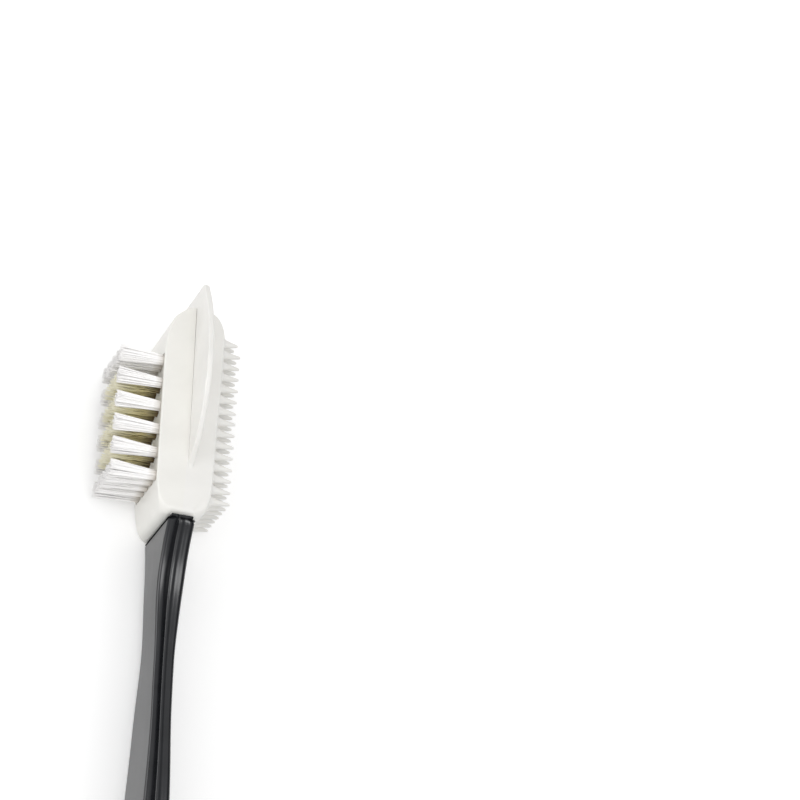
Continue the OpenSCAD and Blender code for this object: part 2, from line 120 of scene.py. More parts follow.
NECK_LEN, NECK_STATIONS = 0.8, (0.75, 0.85)               # neck against the head
NECK_THINNER, NECK_NEAR, NECK_FAR, NECK_RELIEF = 0.7, 0.7, 0.5, 0.25
ACROSS, ALONG, END_STEPS = 56, 120, 30  # steps of the handle's mesh


def place(p):
    """Part coordinates in mm to the row frame in metres."""
    return Vector(((p[0] + SHIFT_X) * MM, (p[1] + SHIFT_Y) * MM, p[2] * MM))


def ease(t):
    """Smooth step from 0 to 1."""
    t = min(1.0, max(0.0, t))
    return t * t * (3 - 2 * t)


# ------------------------------------------------------------- mesh helpers
def new_piece(name, verts, faces, smooth=None):
    me = bpy.data.meshes.new(name)
    me.from_pydata([place(v) for v in verts], [], faces)
    me.validate()
    bm = bmesh.new()
    bm.from_mesh(me)
    bmesh.ops.recalc_face_normals(bm, faces=bm.faces)
    bm.to_mesh(me)
    bm.free()
    ob = bpy.data.objects.new(name, me)
    bpy.context.scene.collection.objects.link(ob)
    if smooth is not None:
        shade(ob, smooth)
    return ob


def shade(ob, degrees):
    """Smooth shading, with edges sharper than the angle kept crisp."""
    me = ob.data
    bm = bmesh.new()
    bm.from_mesh(me)
    limit = math.radians(degrees)
    for f in bm.faces:
        f.smooth = True
    for e in bm.edges:
        e.smooth = not (len(e.link_faces) == 2 and e.calc_face_angle(0) > limit)
    bm.to_mesh(me)
    bm.free()


def finish_piece(ob, material, slot, *nodes):
    ob.data.materials.clear()
    ob.data.materials.append(material)
    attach(ob, "root")
    if nodes:
        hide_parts(*nodes)


def apply_modifiers(ob):
    dg = bpy.context.evaluated_depsgraph_get()
    me = bpy.data.meshes.new_from_object(ob.evaluated_get(dg))
    ob.modifiers.clear()
    old = ob.data
    ob.data = me
    bpy.data.meshes.remove(old)
    me.name = ob.name


def cut(ob, cutters, operation="DIFFERENCE"):
    """Boolean with several cutters, applied, then the cutters are removed."""
    for c in cutters:
        m = ob.modifiers.new("cut", "BOOLEAN")
        m.operation, m.solver, m.object = operation, "EXACT", c
    apply_modifiers(ob)
    for c in cutters:
        bpy.data.objects.remove(c)


def even_normals(ob):
    """Large flat faces keep flat shading beside rounded edges."""
    m = ob.modifiers.new("even", "WEIGHTED_NORMAL")
    m.keep_sharp, m.weight = True, 100
    apply_modifiers(ob)


def rounded(points, most=1.0, steps=3):
    """Closed outline with each corner turned into a short curve inside it."""
    out, n = [], len(points)
    for i in range(n):
        a, b, c = (Vector(points[(i + k) % n]) for k in (-1, 0, 1))
        da, dc = (a - b), (c - b)
        d = min(most, 0.42 * da.length, 0.42 * dc.length)
        p, q = b + da.normalized() * d, b + dc.normalized() * d
        for k in range(steps + 1):
            t = k / steps
            out.append(tuple(p * (1 - t) ** 2 + b * 2 * t * (1 - t) + q * t * t))
    return out


def normals_2d(points):
    """Outward normals of an anticlockwise outline."""
    n, out = len(points), []
    for i in range(n):
        a, c = Vector(points[i - 1]), Vector(points[(i + 1) % n])
        t = (c - a).normalized()
        out.append(Vector((t.y, -t.x)))
    return out


def box_mesh(lo, hi):
    v = [(x, y, z) for x in (lo[0], hi[0]) for y in (lo[1], hi[1]) for z in (lo[2], hi[2])]
    f = [(0, 1, 3, 2), (4, 6, 7, 5), (0, 4, 5, 1), (2, 3, 7, 6), (0, 2, 6, 4), (1, 5, 7, 3)]
    return v, f


def circle(x, y, z, radius, n):
    """Ring of n points round a line along x."""
    turns = [2 * math.pi * k / n for k in range(n)]
    return [(x, y + radius * math.cos(a), z + radius * math.sin(a)) for a in turns]


def tube_faces(base, rings, n, flip=False):
    """Quads between neighbouring rings of n points, from vertex base on."""
    out = []
    for k in range(rings - 1):
        a, b = base + k * n, base + (k + 1) * n
        for i in range(n):
            j = (i + 1) % n
            out.append((a + i, b + i, b + j, a + j) if flip else (a + i, a + j, b + j, b + i))
    return out


def cap_faces(base, rings, n, flip=False):
    """The first and the last ring of such a tube, as faces."""
    first = tuple(range(base, base + n))
    last = tuple(range(base + (rings - 1) * n, base + rings * n))
    return [first, last[::-1]] if flip else [first[::-1], last]


def loft(rings, flip=False):
    """Closed mesh through rings that all have the same number of points."""
    count, n = len(rings), len(rings[0])
    verts = [v for r in rings for v in r]
    return verts, tube_faces(0, count, n, flip) + cap_faces(0, count, n, flip)


def cylinder_mesh(radius, x0, x1, y, z, n):
    return loft([circle(x, y, z, radius, n) for x in (x0, x1)])


# ---------------------------------------------------------------- materials
MIX_FACTOR, MIX_A, MIX_B, MIX_OUT = 0, 6, 7, 2            # sockets of a colour Mix
GRAIN_DEPTH = 0.0001


def material(name, build):
    m = bpy.data.materials.new(name)
    m.use_nodes = True
    nt = m.node_tree
    build(nt, nt.nodes["Principled BSDF"])
    return m


def node(nt, kind, **values):
    n = nt.nodes.new(kind)
    for k, v in values.items():
        if k in n.inputs:
            n.inputs[k].default_value = v
        else:
            setattr(n, k, v)
    return n


def coords(nt, scale):
    """Object coordinates in metres, scaled by a vector."""
    tc = nt.nodes.new("ShaderNodeTexCoord")
    mp = nt.nodes.new("ShaderNodeMapping")
    mp.inputs["Scale"].default_value = scale
    nt.links.new(tc.outputs["Object"], mp.inputs["Vector"])
    return mp.outputs["Vector"]


def noise(nt, vector, scale, detail=3.0):
    n = node(nt, "ShaderNodeTexNoise", Scale=scale, Detail=detail, Roughness=0.55)
    nt.links.new(vector, n.inputs["Vector"])
    return n.outputs["Fac"]


def ramp(nt, fac, stops):
    r = nt.nodes.new("ShaderNodeValToRGB")
    el = r.color_ramp.elements
    while len(el) < len(stops):
        el.new(0.5)
    for e, (pos, col) in zip(el, stops):
        e.position, e.color = pos, (*col, 1)
    nt.links.new(fac, r.inputs["Fac"])
    return r.outputs["Color"]


def map_range(nt, value, to, start=(0.0, 1.0)):
    """Carry value from one range to another, whose ends may be sockets."""
    r = nt.nodes.new("ShaderNodeMapRange")
    for name, end in zip(("From Min", "From Max", "To Min", "To Max"), (*start, *to)):
        if isinstance(end, bpy.types.NodeSocket):
            nt.links.new(end, r.inputs[name])
        else:
            r.inputs[name].default_value = end
    nt.links.new(value, r.inputs["Value"])
    return r.outputs["Result"]


def multiply(nt, a, b):
    """Product of two colours."""
    mix = node(nt, "ShaderNodeMix", data_type="RGBA", blend_type="MULTIPLY")
    mix.inputs[MIX_FACTOR].default_value = 1.0
    nt.links.new(a, mix.inputs[MIX_A])
    nt.links.new(b, mix.inputs[MIX_B])
    return mix.outputs[MIX_OUT]


def bump(nt, bsdf, height, strength):
    b = node(nt, "ShaderNodeBump", Strength=strength, Distance=GRAIN_DEPTH)
    nt.links.new(height, b.inputs["Height"])
    nt.links.new(b.outputs["Normal"], bsdf.inputs["Normal"])


def along_x(nt, x_root, x_tip):
    """0 at the root of a bristle, 1 at its tip."""
    tc = nt.nodes.new("ShaderNodeTexCoord")
    sep = nt.nodes.new("ShaderNodeSeparateXYZ")
    nt.links.new(tc.outputs["Object"], sep.inputs["Vector"])
    ends = ((x_root + SHIFT_X) * MM, (x_tip + SHIFT_X) * MM)
    return map_range(nt, sep.outputs["X"], (0.0, 1.0), ends)


def plastic(light, dark, roughness, scatter, grain):
    """Pale moulded plastic: faint mottling, uneven gloss and a fine grain."""
    def build(nt, bsdf):
        v = coords(nt, (1, 1, 1))
        mottling = ramp(nt, noise(nt, v, 90), [(0.35, dark), (0.65, light)])
        nt.links.new(mottling, bsdf.inputs["Base Color"])
        nt.links.new(map_range(nt, noise(nt, v, 260), roughness), bsdf.inputs["Roughness"])
        bsdf.inputs["Subsurface Weight"].default_value = scatter
        bsdf.inputs["Subsurface Radius"].default_value = (1.0, 0.9, 0.75)
        bsdf.inputs["Subsurface Scale"].default_value = 0.0012
        bsdf.inputs["Specular IOR Level"].default_value = 0.4
        bump(nt, bsdf, noise(nt, v, 1400, 2.0), grain)
    return build


def handle_look(nt, bsdf):
    """Black plastic, with its gloss and grain drawn out along the handle."""
    v = coords(nt, (1, 1, 1))
    streak = coords(nt, (1, 0.12, 1))
    black = ramp(nt, noise(nt, v, 120),
                 [(0.3, (0.010, 0.011, 0.013)), (0.7, (0.018, 0.019, 0.022))])
    nt.links.new(black, bsdf.inputs["Base Color"])
    nt.links.new(map_range(nt, noise(nt, streak, 500), (0.17, 0.25)), bsdf.inputs["Roughness"])
    bsdf.inputs["Specular IOR Level"].default_value = 0.42
    bump(nt, bsdf, noise(nt, streak, 700), 0.05)


def nylon_look(nt, bsdf):
    """White nylon, each filament a little different, with painted shade that darkens it towards the
    root.
    """
    v = coords(nt, (60, 1600, 1600))
    tone = ramp(nt, noise(nt, v, 1.0, 2.0), [(0.3, (0.97, 0.97, 0.98)), (0.6, (1.0, 1.0, 1.0))])
    # painted shade: the filaments darken towards the root, where the crowded tuft and the field
    # shade them
    root = ramp(nt, along_x(nt, SLICE_TOP, TIP_X),
                [(0.0, (0.62, 0.57, 0.50)), (0.22, (1.0, 0.99, 0.98))])
    nt.links.new(multiply(nt, tone, root), bsdf.inputs["Base Color"])
    nt.links.new(map_range(nt, noise(nt, v, 2.0), (0.3, 0.5)), bsdf.inputs["Roughness"])


def brass_look(nt, bsdf):
    """Brass wires, some light and some dark, with painted shade darkening them at the root and a
    painted highlight paling them at the tip.

    They aren't metallic in the shader, where so many close wires turn too dark
    for the photo's pale yellow.
    """
    v = coords(nt, (60, 1500, 1500))
    tone = ramp(nt, noise(nt, v, 1.0, 2.0), [(0.37, (0.20, 0.14, 0.04)), (0.46, (1.0, 0.94, 0.60))])
    t = along_x(nt, SLICE_TOP, TIP_X)
    # painted shade: the wires darken towards the root, where they crowd together deep in the field
    root = ramp(nt, t, [(0.0, (0.16, 0.11, 0.07)), (0.30, (0.88, 0.84, 0.74)), (0.5, (1, 1, 1))])
    # painted highlight: the wires turn pale towards the tip, where light falls on them as they
    # spread
    tip = node(nt, "ShaderNodeMix", data_type="RGBA")
    tip.inputs[MIX_B].default_value = (1.0, 0.98, 0.86, 1)
    pale = ramp(nt, t, [(0.5, (0, 0, 0)), (1.0, (0.95, 0.95, 0.95))])
    nt.links.new(pale, tip.inputs[MIX_FACTOR])
    nt.links.new(multiply(nt, tone, root), tip.inputs[MIX_A])
    nt.links.new(tip.outputs[MIX_OUT], bsdf.inputs["Base Color"])
    nt.links.new(map_range(nt, noise(nt, v, 2.0), (0.28, 0.45)), bsdf.inputs["Roughness"])


def steel_look(nt, bsdf):
    v = coords(nt, (1, 1, 1))
    grey = ramp(nt, noise(nt, v, 900), [(0.3, (0.42, 0.42, 0.43)), (0.7, (0.60, 0.60, 0.61))])
    nt.links.new(grey, bsdf.inputs["Base Color"])
    bsdf.inputs["Metallic"].default_value = 1.0
    nt.links.new(map_range(nt, noise(nt, v, 1500), (0.3, 0.5)), bsdf.inputs["Roughness"])


BLACK = material("black_plastic", handle_look)
WHITE = material("white_plastic",
                 plastic((0.87, 0.86, 0.82), (0.83, 0.82, 0.78), (0.36, 0.5), 0.0, 0.10))
SOFT = material("soft_white",
                plastic((0.87, 0.86, 0.83), (0.83, 0.82, 0.79), (0.42, 0.58), 0.05, 0.14))
NYLON = material("nylon", nylon_look)
BRASS = material("brass_wire", brass_look)
STEEL = material("steel", steel_look)

# --------------------------------------------------------------------- head
# The head from above, anticlockwise from its handle end. The nub side comes
# first, and then the tuft side.
OUTLINE = [
    (-3.6, -SHOULDER), (3.6, -SHOULDER), (4.7, -SHOULDER + 0.9), (6.1, -SHOULDER + 2.2),
    (6.8, -4.9), (7.08, -2.6), (FACE_END, 0), (FACE_NOSE, FACE_WIDEST), (FACE_NOSE, 41.2),
    (7.3, 43.6), (6.6, 45.4), (5.6, 46.9), (4.3, 47.9), (2.6, NOSE - 0.15), (0, NOSE),
    (-1.9, NOSE - 0.2), (-3.2, 47.6), (-4.6, 46.4), (-6, 44.9), (-6.9, 42.6), (-7.5, 40),
    (-HALF_NOSE, 36), (-HALF_END, 0), (-6.75, -4.2), (-6.05, -7.2), (-5.4, -8.4), (-4.6, -9),
]


def near_r(p):
    """Radius of the edge of the blade side, larger at the handle."""
    least, more, start, run = 0.45, 1.5, 3.0, 5.5
    roll = min(1.0, max(0.0, (-p[1] - start) / run))
    return least + more * roll * roll


def far_r(p):
    """Radius of the edge on the floor side, larger on the tuft side."""
    least, more, most, start, run = 0.7, 1.5, 2.2, 3.5, 2.0
    if p[0] < -(start + run) and p[1] > -7.5:
        return most
    return least + more * min(1.0, max(0.0, (-p[0] - start) / run))


def head_mesh(steps=5):
    """Both halves of the head as one rounded block."""
    pts = rounded(OUTLINE)
    edge = list(zip(pts, normals_2d(pts)))

    def flat_ring(radius, z):
        return [(p[0] - v.x * (radius(p) + SUPPORT), p[1] - v.y * (radius(p) + SUPPORT), z)
                for p, v in edge]

    def round_ring(radius, a, z0, up):
        return [(p[0] - v.x * radius(p) * (1 - math.cos(a)),
                 p[1] - v.y * radius(p) * (1 - math.cos(a)),
                 z0 + up * (radius(p) * (1 - math.sin(a)))) for p, v in edge]

    rings = [flat_ring(far_r, 0.0)]
    rings += [round_ring(far_r, math.pi / 2 * (1 - k / steps), 0.0, 1) for k in range(steps + 1)]
    rings += [round_ring(near_r, math.pi / 2 * k / steps, HEAD_DEPTH, -1)
              for k in range(steps + 1)]
    rings.append(flat_ring(near_r, HEAD_DEPTH))
    return loft(rings)


def half_head(name, side):
    """The half of the head on one side of the middle plane: side -1 or 1."""
    ob = new_piece(name, *head_mesh())
    bm = bmesh.new()
    bm.from_mesh(ob.data)
    bmesh.ops.bisect_plane(bm, geom=bm.verts[:] + bm.edges[:] + bm.faces[:], dist=1e-7,
                           plane_co=place((0, 0, 0)), plane_no=(side, 0, 0), clear_inner=True)
    edge = [e for e in bm.edges if e.is_boundary]
    bmesh.ops.contextual_create(bm, geom=edge)
    bmesh.ops.recalc_face_normals(bm, faces=bm.faces)
    bm.to_mesh(ob.data)
    bm.free()
    return ob


def skewed(verts):
    """Turned a little in plan about the nose, as the blade in the photo is."""
    return [(x + BLADE_ASIDE + BLADE_SKEW * (NOSE - y), y, z) for x, y, z in verts]


def hairline(verts):
    """The tuft side moved out by a hairline, which is widest at the nose."""
    return [(x - ((NOSE_GAP if y > NOSE else SLOT_GAP) if x < 0 else 0.0), y, z)
            for x, y, z in verts]


def inner_cutters():
    """The tang's pocket and the blade's two slots, along its root and at the nose."""
    half = BLADE_T / 2
    pocket = box_mesh((-TANG_T / 2, -SHOULDER - 1, TANG_LOW - PLAY),
                      (TANG_T / 2, TANG_LEN - SHOULDER + PLAY, TANG_LOW + TANG_W + PLAY))
    slots = [box_mesh((-half, BLADE_MEET + 2.5, ROOT_Z - PLAY), (half, NOSE + 2, HEAD_DEPTH + 1)),
             box_mesh((-half - SLOT_GAP, NOSE - BLADE_ROOT - PLAY, BLADE_LOW - 0.03),
                      (half + SLOT_GAP, NOSE + 2.5, ROOT_Z))]
    return [new_piece("pocket", *pocket)] + [new_piece("slot", skewed(hairline(verts)), faces)
                                             for verts, faces in slots]


def field_box(x0, x1):
    """A box over the whole field of tufts, from x0 to x1."""
    return box_mesh((x0, FIELD_Y0, FIELD_MID - FIELD_DEPTH / 2),
                    (x1, FIELD_Y0 + FIELD_LEN, FIELD_MID + FIELD_DEPTH / 2))


def build_block():
    ob = half_head("bristle_block_moulded", -1)
    cut(ob, inner_cutters() + [new_piece("recess", *field_box(FLOOR_X - RECESS, FLOOR_X))])
    shade(ob, 32)
    even_normals(ob)
    finish_piece(ob, WHITE, "block", "bristle_block")


def pad_x(y):
    """Level of the nub face at y."""
    if y < 0:
        return FACE_END + y * 0.06
    return FACE_END + (FACE_NOSE - FACE_END) * min(y, FACE_WIDEST) / FACE_WIDEST


def add_nub(verts, faces, x, y, z, tall, lean_y, lean_z):
    """One nub with a flared foot and a rounded point, leaning a little."""
    base, rings = len(verts), len(NUB_PROFILE)
    for h, r in NUB_PROFILE:
        t = max(0.0, h / NUB_DRAWN)
        verts += circle(x + h * tall, y + lean_y * t * t, z + lean_z * t * t, r, NUB_SIDES)
    faces += tube_faces(base, rings, NUB_SIDES)
    foot, top = cap_faces(base, rings, NUB_SIDES)
    verts.append((x + NUB_DRAWN * tall, y + lean_y, z + lean_z))
    tip = len(verts) - 1
    faces += [(a, b, tip) for a, b in zip(top, top[1:] + top[:1])]
    faces.append(foot)


def build_pad():
    half = half_head("pad_half", 1)
    cut(half, inner_cutters())
    verts = [(v.co.x / MM - SHIFT_X, v.co.y / MM - SHIFT_Y, v.co.z / MM)
             for v in half.data.vertices]
    faces = [tuple(p.vertices) for p in half.data.polygons]
    bpy.data.objects.remove(half)
    rnd = random.Random(7)
    for i in range(NUB_ROWS):
        for j in range(NUB_COLS):
            y = NUB_Y0 + i * NUB_PITCH_Y
            z = NUB_MID_Z + (j - (NUB_COLS - 1) / 2) * NUB_PITCH_Z
            x = pad_x(y)
            lower = NUB_LAST_LOWER if i == NUB_ROWS - 1 else 0
            lean_y, lean_z = rnd.uniform(-NUB_LEAN, NUB_LEAN), rnd.uniform(-NUB_LEAN, NUB_LEAN)
            add_nub(verts, faces, x, y, z, (NUB_TIP - x - lower) / NUB_DRAWN, lean_y, lean_z)
    ob = new_piece("nub_pad_moulded", verts, faces, 38)
    even_normals(ob)
    finish_piece(ob, SOFT, "pad", "nub_pad")


def blade_outline(steps=90):
    """The blade from the side, as (y, z): its curved edge, then its root.

    The two steps after the tip are left out, which leaves room for the
    rounding of the tip.
    """
    a0 = math.acos((BLADE_END - BLADE_MID) / BLADE_R)
    a1 = math.pi - math.asin((HEAD_DEPTH - BLADE_CZ) / BLADE_R)
    arc = []
    for k in [0] + list(range(3, steps + 1)):
        a = a0 + (a1 - a0) * k / steps
        y, z = BLADE_MID + BLADE_R * math.cos(a), BLADE_CZ + BLADE_R * math.sin(a)
        fade = ease((y - BLADE_MEET + 0.6) / 6.0)     # into the head at its low end
        arc.append((y, HEAD_DEPTH + (z - HEAD_DEPTH) * fade))
    root = [(BLADE_MEET - 2, HEAD_DEPTH - 0.35), (BLADE_MEET - 2, ROOT_Z),
            (NOSE - BLADE_ROOT, ROOT_Z), (NOSE - BLADE_ROOT, BLADE_LOW),
            (NOSE + 0.3, BLADE_LOW), (NOSE + 1.6, BLADE_LOW + 1.2),
            (BLADE_END - 1, BLADE_LOW + 3.6), (BLADE_END, BLADE_LOW + 7)]
    return rounded(arc + root, CORNER, CORNER_STEPS)


def add_fillet(verts, faces):
    """Soft fillet where the blade leaves the head, on the nub side."""
    base, half, rings = len(verts), BLADE_T / 2, FILLET_STEPS + 1
    inside, under, above = half - 0.05, HEAD_DEPTH - 0.1, HEAD_DEPTH + 0.004
    run = NOSE - FILLET_STOP - BLADE_MEET - FILLET_START
    for step in range(rings):
        y = BLADE_MEET + FILLET_START + run * step / FILLET_STEPS
        grow = ease(min(1.0, (y - BLADE_MEET - 1.5) / 9.0, (NOSE - 0.9 - y) / 2.0))
        f = FILLET * max(0.03, grow)
        verts += [(inside, y, under), (half + f, y, under), (half + f, y, above)]
        for k in range(1, FILLET_ARC + 1):
            a = math.pi / 2 * k / FILLET_ARC
            verts.append((half + f * (1 - math.sin(a)), y, HEAD_DEPTH + f * (1 - math.cos(a))))
        verts.append((inside, y, HEAD_DEPTH + f))
    points = FILLET_ARC + 4
    faces += tube_faces(base, rings, points)
    start, end = cap_faces(base, rings, points)
    faces += [start[::-1], end]


def build_blade():
    pts = blade_outline()
    edge, half = list(zip(pts, normals_2d(pts))), BLADE_T / 2
    quarter = [math.pi / 2 * k / EDGE_STEPS for k in range(EDGE_STEPS + 1)]
    sweep = [(-1, quarter[-1], EDGE_SUPPORT)] + [(-1, a, 0) for a in reversed(quarter)]
    sweep += [(1, a, 0) for a in quarter] + [(1, quarter[-1], EDGE_SUPPORT)]
    rings = []
    for side, a, more in sweep:
        d = EDGE_R * (1 - math.cos(a)) + more
        rings.append([(side * (half - EDGE_R * (1 - math.sin(a))), p[0] - v.x * d, p[1] - v.y * d)
                      for p, v in edge])
    verts, faces = loft(rings)
    add_fillet(verts, faces)
    finish_piece(new_piece("edge_blade_moulded", skewed(verts), faces, 35),
                 SOFT, "blade", "edge_blade")


# ------------------------------------------------------------------- handle
def run_out(t):
    """From 0 to 1, fast at first and level at the end."""
    t = min(1.0, max(0.0, t))
    return 1 - (1 - t) ** 2.6


def end_round(s):
    """1 along the handle, falling to 0 in a quarter round at its end."""
    e = (s - S_ROUND) / END_LEN
    return 1.0 if e <= 0 else math.sqrt(max(0.0, 1 - e * e))


def near_level(s):
    """Level of the near narrow side: down to the waist, then up to the grip."""
    waist, rise, rise_len = 36, 40, 46
    if s < waist:
        return NEAR_HEAD - (NEAR_HEAD - NEAR_WAIST) * run_out((s - SHOULDER) / (waist - SHOULDER))
    return NEAR_WAIST + (NEAR_GRIP - NEAR_WAIST) * ease((s - rise) / rise_len)


def far_level(s):
    """Level of the far narrow side: up at the waist, then down to the grip."""
    waist, grip = 34, 63
    if s < waist:
        return FAR_WAIST * run_out((s - SHOULDER) / (waist - SHOULDER))
    return FAR_WAIST * (1 - ease((s - waist) / (grip - waist)))


def half_thick(s):
    """Half the thickness: thinner at the waist, fuller again at the grip."""
    thin, thin_len, full, full_len = 22, 24, 58, 30
    half = (HALF_HEAD - HALF_THINNER * ease((s - thin) / thin_len)
            + HALF_FULLER * ease((s - full) / full_len))
    return half * (HALF_AT_END + (1 - HALF_AT_END) * end_round(s))


def dent(x, at, width, depth):
    return depth * math.exp(-((x - at) / width) ** 2)


def side_drop(x, h):
    """How far the narrow side lies below its highest level at x across it.

    Across, from the left: a small shoulder, a band, a deep groove, two soft
    ridges with a valley between them, and a larger shoulder on the right.
    """
    k = h / HALF_DRAWN
    d = 0.0
    r = (SIDE_R_LEFT if x < 0 else SIDE_R_RIGHT) * k
    if abs(x) > h - r:
        u = (abs(x) - (h - r)) / r
        d += r * (1 - math.sqrt(max(0.0, 1 - u * u)))
    at = -h + GROOVE_AT * k
    for width, depth in (GROOVE, GROOVE_FLANK):
        d += dent(x, at, width * k, depth)
    width, depth = VALLEY
    return d + dent(x, VALLEY_AT * k, width * k, depth)


def handle_ring(s):
    """The handle's section at s, round its narrow near side and back."""
    h, near, far, e = half_thick(s), near_level(s), far_level(s), end_round(s)
    mid = (near + far) / 2
    near, far = mid + (near - mid) * e, mid - (mid - far) * e
    q = min(1.0, (near - far) / 6)
    if s < SHOULDER + NECK_LEN:
        # the neck leaves a dark line where the handle meets the head
        h, near, far, q = h - NECK_THINNER, near - NECK_NEAR, far + NECK_FAR, NECK_RELIEF * q
    xs = [-h * math.cos(math.pi * k / ACROSS) for k in range(ACROSS + 1)]
    return ([(x, -s, near - side_drop(x, h) * q) for x in xs]
            + [(x, -s, far + side_drop(x, h) * q) for x in reversed(xs)])


def build_handle():
    stations = [SHOULDER] + [SHOULDER + s for s in NECK_STATIONS]
    stations += [SHOULDER + (S_ROUND - SHOULDER) * k / ALONG for k in range(1, ALONG)]
    stations += [S_ROUND + END_LEN * math.sin(math.radians(89.5 * k / END_STEPS))
                 for k in range(END_STEPS + 1)]
    ob = new_piece("handle_moulded", *loft([handle_ring(s) for s in stations], flip=True))
    s = S_END - HANG_FROM_END
    mid = (near_level(s) + far_level(s)) / 2
    cut(ob, [new_piece("hole", *cylinder_mesh(HANG_R, -10, 10, -s, mid, 64))])
    tang = new_piece("tang", *box_mesh((-TANG_T / 2, -SHOULDER - 3, TANG_LOW),
                                       (TANG_T / 2, TANG_LEN - SHOULDER, TANG_LOW + TANG_W)))
    cut(ob, [tang], "UNION")
    shade(ob, 40)
    finish_piece(ob, BLACK, "handle", "handle")


# -------------------------------------------------------------------- tufts
def tuft_centre(col, row):
    return COL0 + col * PITCH_Y, ROW0 + row * PITCH_Z


def add_filament(verts, faces, path, radius, sides):
    base, rings = len(verts), len(path)
    for k, (x, y, z) in enumerate(path):
        r = radius if k < rings - 1 else radius * TIP_TAPER
        verts += circle(x, y, z, r, sides)
    faces += tube_faces(base, rings, sides)
    faces += cap_faces(base, rings, sides)


def add_tuft(verts, faces, col, row, brass, rnd):
    """Fine filaments that leave one hole and spread towards their tips."""
    cy, cz = tuft_centre(col, row)
    count, radius, segments, sides = BRASS_SET if brass else NYLON_SET
    wave_size, wave_turns = BRASS_WAVE if brass else NYLON_WAVE

    def spread(d, widening, vary, scatter):
        return d * (widening + rnd.uniform(-vary, vary)) + rnd.gauss(0, scatter)

    for k in range(count):
        r = BUNDLE_R * math.sqrt((k + 0.5) / count)
        a = k * GOLDEN_ANGLE + rnd.uniform(-0.3, 0.3)
        dy, dz = r * math.cos(a), r * math.sin(a)
        out_y, out_z = spread(dy, *SPREAD_Y), spread(dz, *SPREAD_Z)
        tip = TIP_X + abs(rnd.gauss(0, TIP_SCATTER))
        phase, turn = rnd.uniform(0, 2 * math.pi), rnd.uniform(0, 2 * math.pi)
        path = []
        for s in range(segments + 1):
            t = s / segments
            w = t ** SPREAD_POWER
            wave = wave_size * math.sin(phase + t * wave_turns)
            path.append((SLICE_TOP + ROOT_LIFT + (tip - SLICE_TOP - ROOT_LIFT) * t,
                         cy + dy + (out_y - dy) * w + wave * math.cos(turn),
                         cz + dz + (out_z - dz) * w + wave * math.sin(turn)))
        add_filament(verts, faces, path, radius, sides)


def build_tufts(name, cols, rows, brass, cad_node, seed):
    rnd = random.Random(seed)
    verts, faces = [], []
    for c in cols:
        for r in rows:
            add_tuft(verts, faces, c, r, brass, rnd)
    finish_piece(new_piece(name, verts, faces, 50),
                 BRASS if brass else NYLON, "brass" if brass else "nylon", cad_node)


def build_field():
    """The floor of the tuft field, with a small collar round each tuft."""
    verts, faces = field_box(SLICE_TOP, FLOOR_X)
    n, rings = COLLAR_SIDES, len(COLLAR)
    for c in range(COLS):
        for r in range(ROWS):
            base = len(verts)
            for x, radius in COLLAR:
                verts += circle(SLICE_TOP + x, *tuft_centre(c, r), radius, n)
            for k in range(rings):
                q, w = base + k * n, base + (k + 1) % rings * n
                faces += [(q + s, q + (s + 1) % n, w + (s + 1) % n, w + s) for s in range(n)]
    finish_piece(new_piece("tuft_field", verts, faces, 40), WHITE, "block")


build_handle()
build_block()
build_pad()
build_blade()
build_field()
INNER_COLS, INNER_ROWS = range(1, COLS - 1), range(1, ROWS - 1)
build_tufts("nylon_bristles_nose_end", [COLS - 1], range(ROWS), False, "nylon_tufts_nose_end", 11)
build_tufts("nylon_bristles_handle_end", [0], range(ROWS), False, "nylon_tufts_handle_end", 12)
build_tufts("nylon_bristles_near_row", INNER_COLS, [ROWS - 1], False, "nylon_tufts_near_row", 13)
build_tufts("nylon_bristles_far_row", INNER_COLS, [0], False, "nylon_tufts_far_row", 14)
for i in INNER_COLS:
    build_tufts(f"brass_bristles_{i}", [i], INNER_ROWS, True, f"brass_tufts_{i}", 20 + i)

for name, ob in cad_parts.items():
    if name.startswith("anchors"):
        ob.data.materials.clear()
        ob.data.materials.append(STEEL)

# -------------------------------------------------------------------- stage
FLOOR_HALF, FLOOR_Z, FLOOR_GLOW = 3.0, -0.0003, 0.25      # m, m, emission strength
SKY_LOW, SKY_HIGH, SKY_AT = 0.60, 0.84, 0.6               # strengths, and where it ends
DARK_SIDE, DARK_FROM_TO = 0.05, (0.35, 0.75)
CAMERA_AT = (-194.0677, -322.0045, 708.5075 + HEAD_DEPTH)  # fitted to the photo, mm
CAMERA_RIGHT = (0.9351740, 0.0431717, 0.3515476)
CAMERA_DOWN = (0.1873449, -0.9026233, -0.3875217)
CAMERA_AHEAD = (0.3005851, 0.4282609, -0.8521979)
LENS, SENSOR = 144.0, 36.0
LAMPS = [
    # name, position, target, width, length, watts, and whether gloss alone sees it
    ("side", (-0.90, 0.0, 0.42), (0, 0.03, 0), 0.5, 0.5, 1.6, False),
    ("overhead", (0.0, -0.12, 1.0), (0, 0.0, 0), 0.3, 0.9, 1.25, False),
    ("fill", (0.10, -0.90, 0.40), (0, 0.0, 0), 0.5, 0.5, 0.6, False),
    ("sheen_above", (-0.02, 0.0, 1.0), (0, 0.0, 0), 0.32, 0.86, 4.5, True),
    ("sheen_left", (-0.86, 0.30, 0.24), (0, 0.0, 0), 0.6, 0.6, 3.0, True),
]


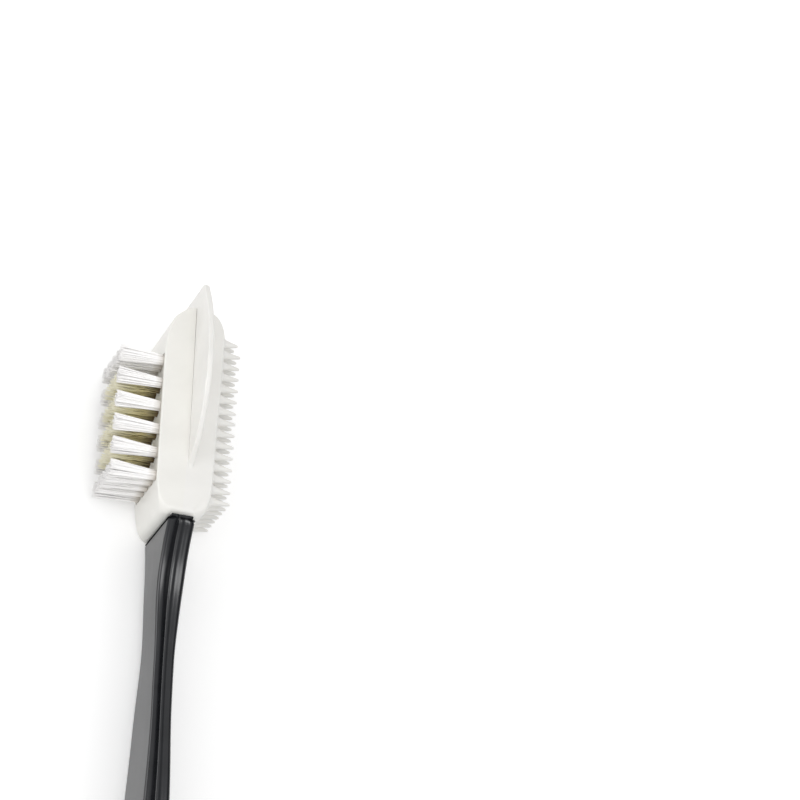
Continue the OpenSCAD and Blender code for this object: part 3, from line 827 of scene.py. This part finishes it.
def floor_look(nt, bsdf):
    """Pale and dull, and lit up a little to the camera and to gloss."""
    bsdf.inputs["Base Color"].default_value = (0.90, 0.90, 0.90, 1)
    bsdf.inputs["Roughness"].default_value = 0.9
    bsdf.inputs["Specular IOR Level"].default_value = 0.0
    bsdf.inputs["Emission Color"].default_value = (1, 1, 1, 1)
    path = nt.nodes.new("ShaderNodeLightPath")
    either = node(nt, "ShaderNodeMath", operation="MAXIMUM")
    nt.links.new(path.outputs["Is Camera Ray"], either.inputs[0])
    nt.links.new(path.outputs["Is Glossy Ray"], either.inputs[1])
    glow = node(nt, "ShaderNodeMath", operation="MULTIPLY")
    glow.inputs[1].default_value = FLOOR_GLOW
    nt.links.new(either.outputs[0], glow.inputs[0])
    nt.links.new(glow.outputs[0], bsdf.inputs["Emission Strength"])


def build_floor():
    me = bpy.data.meshes.new("floor")
    corners = [(-1, -1), (1, -1), (1, 1), (-1, 1)]
    me.from_pydata([(x * FLOOR_HALF, y * FLOOR_HALF, FLOOR_Z) for x, y in corners],
                   [], [(0, 1, 2, 3)])
    ob = bpy.data.objects.new("floor", me)
    bpy.context.scene.collection.objects.link(ob)
    me.materials.append(material("pale_floor", floor_look))


def build_world():
    """White studio: brightest overhead, dimmer towards the horizon, white to
    the camera. Gloss on the right-hand side sees a darker room, as beside the
    photo's shoe."""
    w = bpy.data.worlds.new("studio")
    bpy.context.scene.world = w
    w.use_nodes = True
    nt = w.node_tree
    bg = nt.nodes["Background"]
    bg.inputs["Color"].default_value = (1, 1, 1, 1)
    tc = nt.nodes.new("ShaderNodeTexCoord")
    sep = nt.nodes.new("ShaderNodeSeparateXYZ")
    nt.links.new(tc.outputs["Generated"], sep.inputs["Vector"])
    path = nt.nodes.new("ShaderNodeLightPath")
    sky = map_range(nt, sep.outputs["Z"], (SKY_LOW, SKY_HIGH), (0.0, SKY_AT))
    right = map_range(nt, sep.outputs["X"], (0.0, 1.0), DARK_FROM_TO)
    gloss_right = node(nt, "ShaderNodeMath", operation="MULTIPLY")
    nt.links.new(right, gloss_right.inputs[0])
    nt.links.new(path.outputs["Is Glossy Ray"], gloss_right.inputs[1])
    room = map_range(nt, gloss_right.outputs[0], (sky, DARK_SIDE))
    seen = map_range(nt, path.outputs["Is Camera Ray"], (room, 1.0))
    nt.links.new(seen, bg.inputs["Strength"])


def area_light(name, position, target, size, size_y, power, gloss_only):
    data = bpy.data.lights.new(name, "AREA")
    data.shape, data.size, data.size_y, data.energy = "RECTANGLE", size, size_y, power
    ob = bpy.data.objects.new(name, data)
    bpy.context.scene.collection.objects.link(ob)
    ob.location = position
    ob.rotation_mode = "QUATERNION"
    ob.rotation_quaternion = (Vector(target) - Vector(position)).to_track_quat("-Z", "Y")
    ob.visible_diffuse = not gloss_only


def build_camera():
    data = bpy.data.cameras.new("camera")
    data.sensor_width, data.lens = SENSOR, LENS
    data.clip_start, data.clip_end = 0.01, 20
    ob = bpy.data.objects.new("camera", data)
    bpy.context.scene.collection.objects.link(ob)
    axes = (Vector(CAMERA_RIGHT), -Vector(CAMERA_DOWN), -Vector(CAMERA_AHEAD))
    rot = Matrix(axes).transposed().to_4x4()
    ob.matrix_world = Matrix.Translation(place(CAMERA_AT)) @ rot
    bpy.context.scene.camera = ob


build_floor()
build_world()
for lamp in LAMPS:
    area_light(*lamp)
build_camera()
bpy.context.scene.view_settings.view_transform = "Standard"
